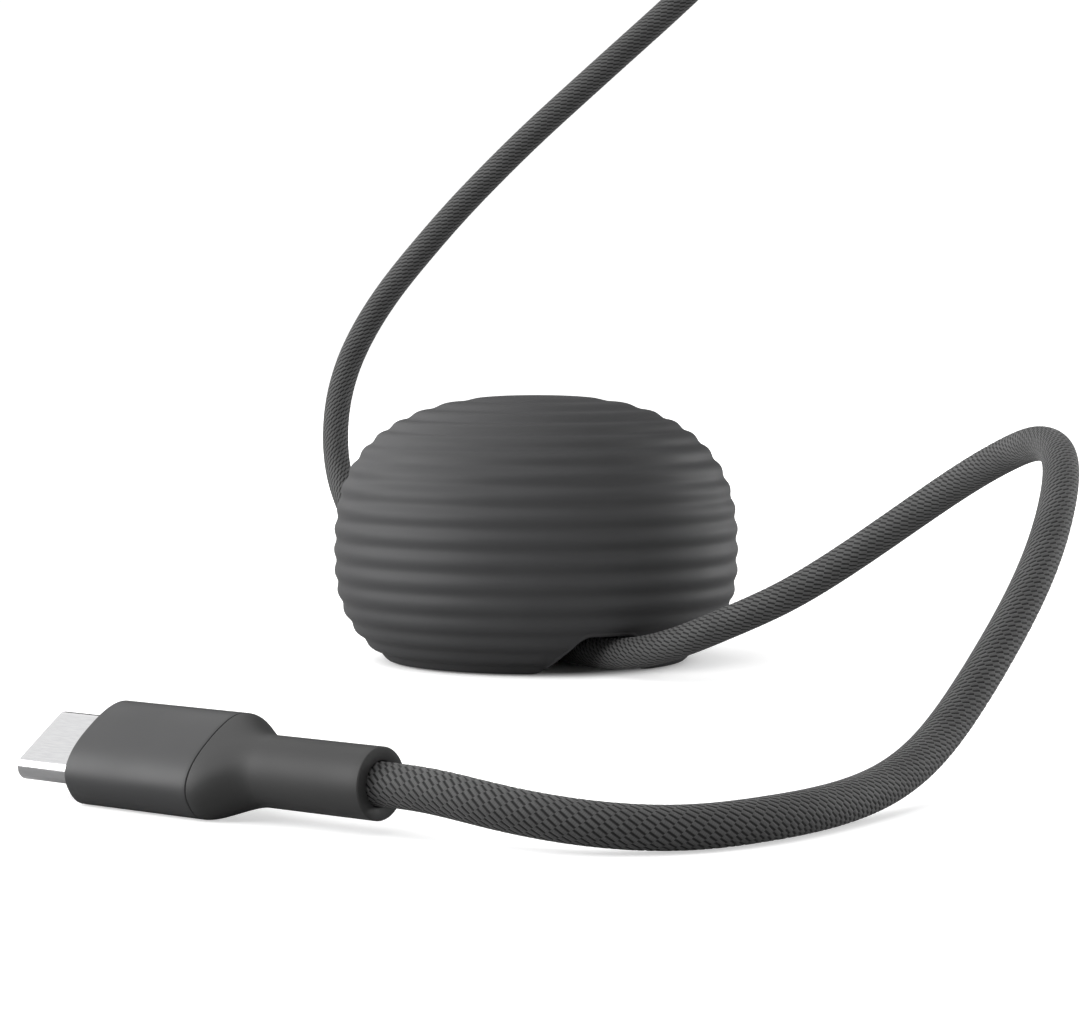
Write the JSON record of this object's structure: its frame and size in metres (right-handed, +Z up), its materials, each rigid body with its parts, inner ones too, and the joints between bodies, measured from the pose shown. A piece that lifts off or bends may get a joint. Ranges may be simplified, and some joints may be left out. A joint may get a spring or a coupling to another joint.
{
  "type": "usb cable",
  "caption": "Short woven charging lead with a metal-nosed reversible plug at both ends, running through the foot of a heavy ribbed dome that stands on a desk and keeps the lead in reach.",
  "frame": {"origin": "middle of the anchor's foot, on the surface that it stands on", "axes": "+Z up, +X to the right as seen from the front, -Y towards the viewer, where the device plug lies"},
  "size_m": [0.1054, 0.2218, 0.1276],
  "materials": {
    "sleeve": "matte, softly ribbed",
    "weight": "as cast, grey",
    "tray": "moulded, black",
    "liner": "soft, black",
    "pads": "non-slip, dark",
    "steel": "plated",
    "weave": "woven, charcoal",
    "nose": "bright, polished",
    "carrier": "moulded, black",
    "contacts": "plated",
    "board": "lacquered laminate",
    "chips": "black",
    "shield": "tinned sheet",
    "inner": "natural, moulded",
    "ferrule": "crimped",
    "wires": "insulated",
    "grip": "fine satin, dark grey",
    "relief": "satin, dark grey, flexible"
  },
  "bodies": {
    "root": {"ribbed_sleeve": "sleeve", "weight_core": "weight", "base_tray": "tray", "passage_liner": "liner", "foot_pads": "pads", "base_screws": "steel", "cord": "weave", "device_nose": "nose", "device_contact_carrier": "carrier", "device_upper_contacts": "contacts", "device_lower_contacts": "contacts", "device_latch_spring": "steel", "device_ground_springs": "steel", "device_board": "board", "device_board_parts": "chips", "device_shield_can": "shield", "device_inner_mould": "inner", "device_crimp_ferrule": "ferrule", "device_core_wires": "wires", "device_grip": "grip", "device_strain_relief": "relief", "charger_nose": "nose", "charger_contact_carrier": "carrier", "charger_upper_contacts": "contacts", "charger_lower_contacts": "contacts", "charger_latch_spring": "steel", "charger_ground_springs": "steel", "charger_board": "board", "charger_board_parts": "chips", "charger_shield_can": "shield", "charger_inner_mould": "inner", "charger_crimp_ferrule": "ferrule", "charger_core_wires": "wires", "charger_grip": "grip", "charger_strain_relief": "relief"}
  },
  "joints": []
}
